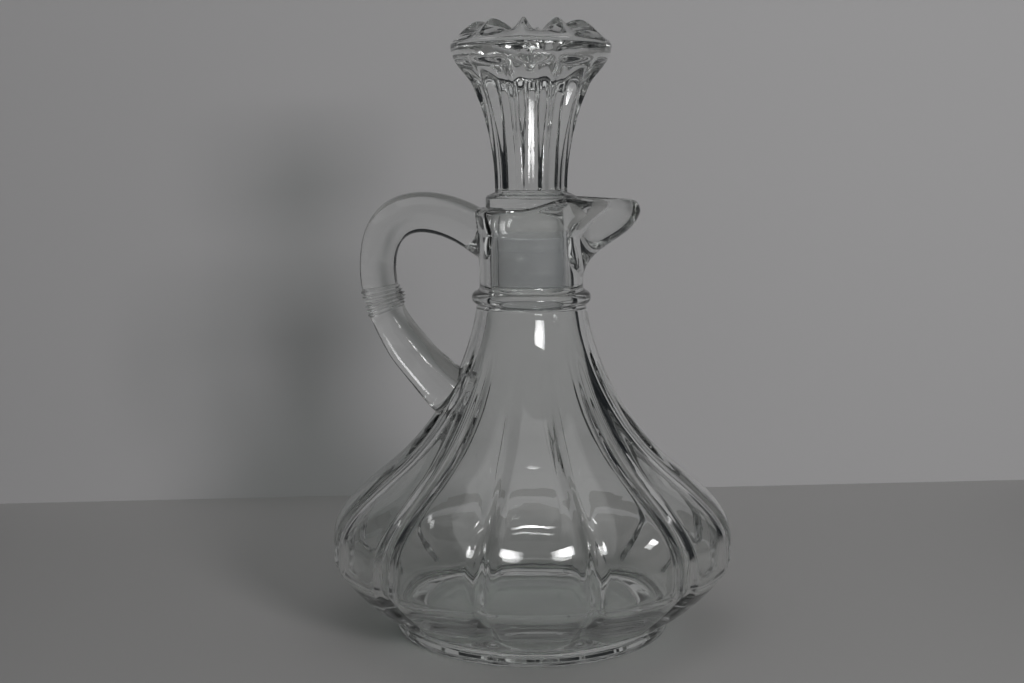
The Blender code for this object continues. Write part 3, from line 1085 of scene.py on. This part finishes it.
@dataclass(frozen=True)
class Lamp:
    """A rectangular studio lamp, placed by the direction in which its target sees it.

    Angles are in degrees, sizes and places in metres. The direction is an azimuth, 0 in front of
    the cruet and growing towards the pouring lip, and an elevation. The glow is the lamp's
    radiance as the target sees it, 1 for a white page. The beam is the full angle in which it
    shines, 180 without a grid.
    """

    name: str
    direction: Pair
    distance: float
    size: Pair
    glow: float
    role: Role = Role.BOTH
    target: Point = (0.0, 0.0, 0.05)
    beam: float = OPEN_BEAM

    def build(self) -> bpy.types.Object:
        """Return the lamp, facing its target."""
        data = bpy.data.lights.new(self.name, "AREA")
        data.shape = "RECTANGLE"
        width, height = self.size
        data.size, data.size_y = width, height
        data.energy = self.glow * math.pi * width * height
        data.spread = math.radians(self.beam)
        if self.beam < OPEN_BEAM:
            half = math.radians(self.beam / 2)
            data.energy *= 1 - half / math.tan(half)
        lamp = show(self.name, data)
        lamp.visible_camera = False
        lamp.visible_diffuse = self.role is not Role.CARD
        lamp.visible_glossy = lamp.visible_transmission = self.role is not Role.PAINT
        turn, lift = (math.radians(degrees) for degrees in self.direction)
        aim = Vector(at(math.cos(lift), math.sin(lift), FRONT + turn))
        lamp.location = Vector(self.target) + aim * self.distance
        lamp.rotation_mode = "QUATERNION"
        lamp.rotation_quaternion = aim.to_track_quat("Z", "Y")
        return lamp


@dataclass
class Studio:
    """Pale floor and backdrop, soft lamps and the camera, in metres and degrees.

    The lens is in millimetres. The cards are close to the glass, each where the highlight that
    it makes shows from the camera.
    """

    floor_reach: float = 1.6
    floor_gap: float = 0.00005
    backdrop_distance: float = 0.1334
    backdrop_turn: float = 3.89
    backdrop_height: float = 0.21
    backdrop_reach: float = 0.19
    camera_azimuth: float = -1.5
    camera_distance: float = 0.3319
    camera_height: float = 0.1153
    camera_pitch: float = 7.63
    camera_yaw: float = 0.826
    camera_roll: float = -0.23
    lens: float = 47.81
    clip_start: float = 0.01
    floor_colour: str = "#B9B8B7"
    backdrop_colour: str = "#C8C7C8"
    world_colour: str = "#1A1C1E"
    lamps: tuple[Lamp, ...] = (
        Lamp("key", (30.0, 18.0), distance=0.7, size=(0.15, 0.15), glow=31.0, role=Role.PAINT),
        Lamp("ceiling", (10.0, 76.0), distance=1.0, size=(1.2, 0.9), glow=0.52),
        Lamp("fill", (-35.0, 30.0), distance=1.0, size=(0.5, 0.5), glow=0.45, role=Role.PAINT),
        Lamp(
            "floor_glow", (180.0, 84.0), distance=0.4, size=(0.055, 0.055), glow=700.0,
            role=Role.PAINT, target=(0.0, 0.0, 0.0), beam=7.0,
        ),
        Lamp(
            "pane_left", (-28.0, 59.0), distance=0.07, size=(0.042, 0.014), glow=34.0,
            role=Role.CARD, target=(-0.0075, -0.0459, 0.0303), beam=18.0,
        ),
        Lamp(
            "pane_right", (34.0, 60.0), distance=0.07, size=(0.044, 0.013), glow=42.0,
            role=Role.CARD, target=(0.0075, -0.0459, 0.0305), beam=18.0,
        ),
        Lamp(
            "pane_side", (92.0, 40.0), distance=0.07, size=(0.008, 0.007), glow=40.0,
            role=Role.CARD, target=(0.0268, -0.038, 0.0308), beam=10.0,
        ),
        Lamp(
            "pane_far", (-110.0, 51.0), distance=0.07, size=(0.006, 0.003), glow=6.0,
            role=Role.CARD, target=(-0.0238, -0.0342, 0.0353), beam=8.0,
        ),
        Lamp(
            "shelf_edge", (0.0, 81.0), distance=0.1, size=(0.1, 0.002), glow=40.0,
            role=Role.CARD, target=(0.0, -0.0418, 0.0348), beam=20.0,
        ),
        Lamp(
            "cone_card", (15.0, 19.0), distance=0.1, size=(0.034, 0.015), glow=26.0,
            role=Role.CARD, target=(0.0017, -0.0142, 0.0752), beam=28.0,
        ),
        Lamp(
            "stem_card", (8.0, -15.0), distance=0.07, size=(0.018, 0.012), glow=40.0,
            role=Role.CARD, target=(-0.0005, -0.0095, 0.1224), beam=24.0,
        ),
        Lamp(
            "crown_card", (24.0, -2.0), distance=0.05, size=(0.014, 0.012), glow=22.0,
            role=Role.CARD, target=(0.0036, -0.0191, 0.1415), beam=18.0,
        ),
        Lamp(
            "crown_low", (20.0, -54.0), distance=0.04, size=(0.02, 0.006), glow=16.0,
            role=Role.CARD, target=(0.002, -0.0184, 0.1391), beam=24.0,
        ),
        Lamp(
            "arm_card", (-80.0, -40.0), distance=0.06, size=(0.018, 0.03), glow=9.0,
            role=Role.CARD, target=(-0.034, -0.003, 0.072), beam=40.0,
        ),
    )

    def plane(self, name: str, corners: Sequence[Sequence[float]]) -> bpy.types.Object:
        """Return a flat stage piece with these four corners."""
        mesh = bpy.data.meshes.new(name)
        mesh.from_pydata([tuple(corner) for corner in corners], [], [(0, 1, 2, 3)])
        made = show(name, mesh)
        return made

    def build(self) -> None:
        """Make the floor, the backdrop, the lamps, the world and the camera."""
        reach, low = self.floor_reach, -self.floor_gap
        ways = ((-1, -1), (1, -1), (1, 1), (-1, 1))
        floor = self.plane("floor", [(x * reach, y * reach, low) for x, y in ways])
        floor.data.materials.append(EggshellPaint("floor_paint", self.floor_colour).material())
        turn = math.radians(self.backdrop_turn)
        along = Vector((math.cos(turn), math.sin(turn), 0.0)) * self.backdrop_reach
        middle = Vector((0.0, self.backdrop_distance, low))
        rise = Vector((0.0, 0.0, self.backdrop_height))
        corners = [middle - along, middle + along, middle + along + rise, middle - along + rise]
        backdrop = self.plane("backdrop", corners)
        paint = EggshellPaint("backdrop_paint", self.backdrop_colour).material()
        backdrop.data.materials.append(self.one_way(paint))
        for lamp in self.lamps:
            lamp.build()
        self.light_world()
        self.camera()

    def one_way(self, material: bpy.types.Material) -> bpy.types.Material:
        """Make a stage material open from behind, so that views from the back see past it."""
        tree = material.node_tree
        output = next(node for node in tree.nodes if node.type == "OUTPUT_MATERIAL")
        paint = output.inputs["Surface"].links[0].from_socket
        behind = add_node(tree, "ShaderNodeNewGeometry").outputs["Backfacing"]
        clear = add_node(tree, "ShaderNodeBsdfTransparent")
        mixed = add_node(
            tree, "ShaderNodeMixShader", {},
            {0: behind, 1: paint, 2: clear.outputs["BSDF"]},
        )
        tree.links.new(mixed.outputs["Shader"], output.inputs["Surface"])
        return material

    def light_world(self) -> None:
        """Fill the surroundings with one soft tone."""
        world = bpy.data.worlds.new("studio")
        bpy.context.scene.world = world
        world.use_nodes = True
        tree = world.node_tree
        tree.nodes.clear()
        output = add_node(tree, "ShaderNodeOutputWorld")
        tone = add_node(
            tree, "ShaderNodeBackground", {},
            {"Color": linear(self.world_colour), "Strength": 1.0},
        )
        tree.links.new(tone.outputs["Background"], output.inputs["Surface"])

    def camera(self) -> bpy.types.Object:
        """Return the scene's camera, at the photograph's viewing angle."""
        data = bpy.data.cameras.new("camera")
        data.lens = self.lens
        data.clip_start = self.clip_start
        made = show("camera", data)
        turn = math.radians(self.camera_azimuth)
        made.location = at(self.camera_distance, self.camera_height, FRONT + turn)
        heading = Matrix.Rotation(turn + math.radians(self.camera_yaw), 4, "Z")
        tilt = Matrix.Rotation(math.radians(90 - self.camera_pitch), 4, "X")
        roll = Matrix.Rotation(math.radians(self.camera_roll), 4, "Z")
        made.rotation_mode = "QUATERNION"
        made.rotation_quaternion = (heading @ tilt @ roll).to_quaternion()
        bpy.context.scene.camera = made
        return made


def tune_render() -> None:
    """Let light pass through all the layers of glass, and keep tones as they are lit."""
    scene = bpy.context.scene
    scene.view_settings.view_transform = "Standard"
    cycles = scene.cycles
    cycles.max_bounces = GLASS_BOUNCES
    cycles.transmission_bounces = GLASS_BOUNCES
    cycles.transparent_max_bounces = GLASS_BOUNCES
    cycles.glossy_bounces = GLOSS_BOUNCES
    cycles.caustics_reflective = False
    cycles.caustics_refractive = False
    cycles.use_denoising = True


def report(piece: bpy.types.Object) -> None:
    """Log a finished piece."""
    log.info("%s: %d faces", piece.name, len(piece.data.polygons))


def main() -> None:
    """Build the cruet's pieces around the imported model, and the studio round them."""
    logging.basicConfig(level=logging.INFO, format="%(message)s", stream=sys.stdout)
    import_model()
    bottle, stopper, sleeve = Bottle(), Stopper(), Sleeve()
    piece = bottle.build()
    bottle.dress(piece, PressedGlass("pressed_glass_bottle").material())
    report(piece)
    piece = stopper.build()
    # The stopper's flutes and petals came from a rougher mould than the bottle
    glass = PressedGlass("pressed_glass_stopper", grain_mm=1.4, grain_height_mm=0.014)
    stopper.dress(piece, glass.material())
    report(piece)
    piece = sleeve.build(stopper)
    sleeve.dress(piece, MouldedPolyethylene("moulded_polyethylene").material())
    report(piece)
    Studio().build()
    tune_render()


if __name__ == "__main__":
    main()
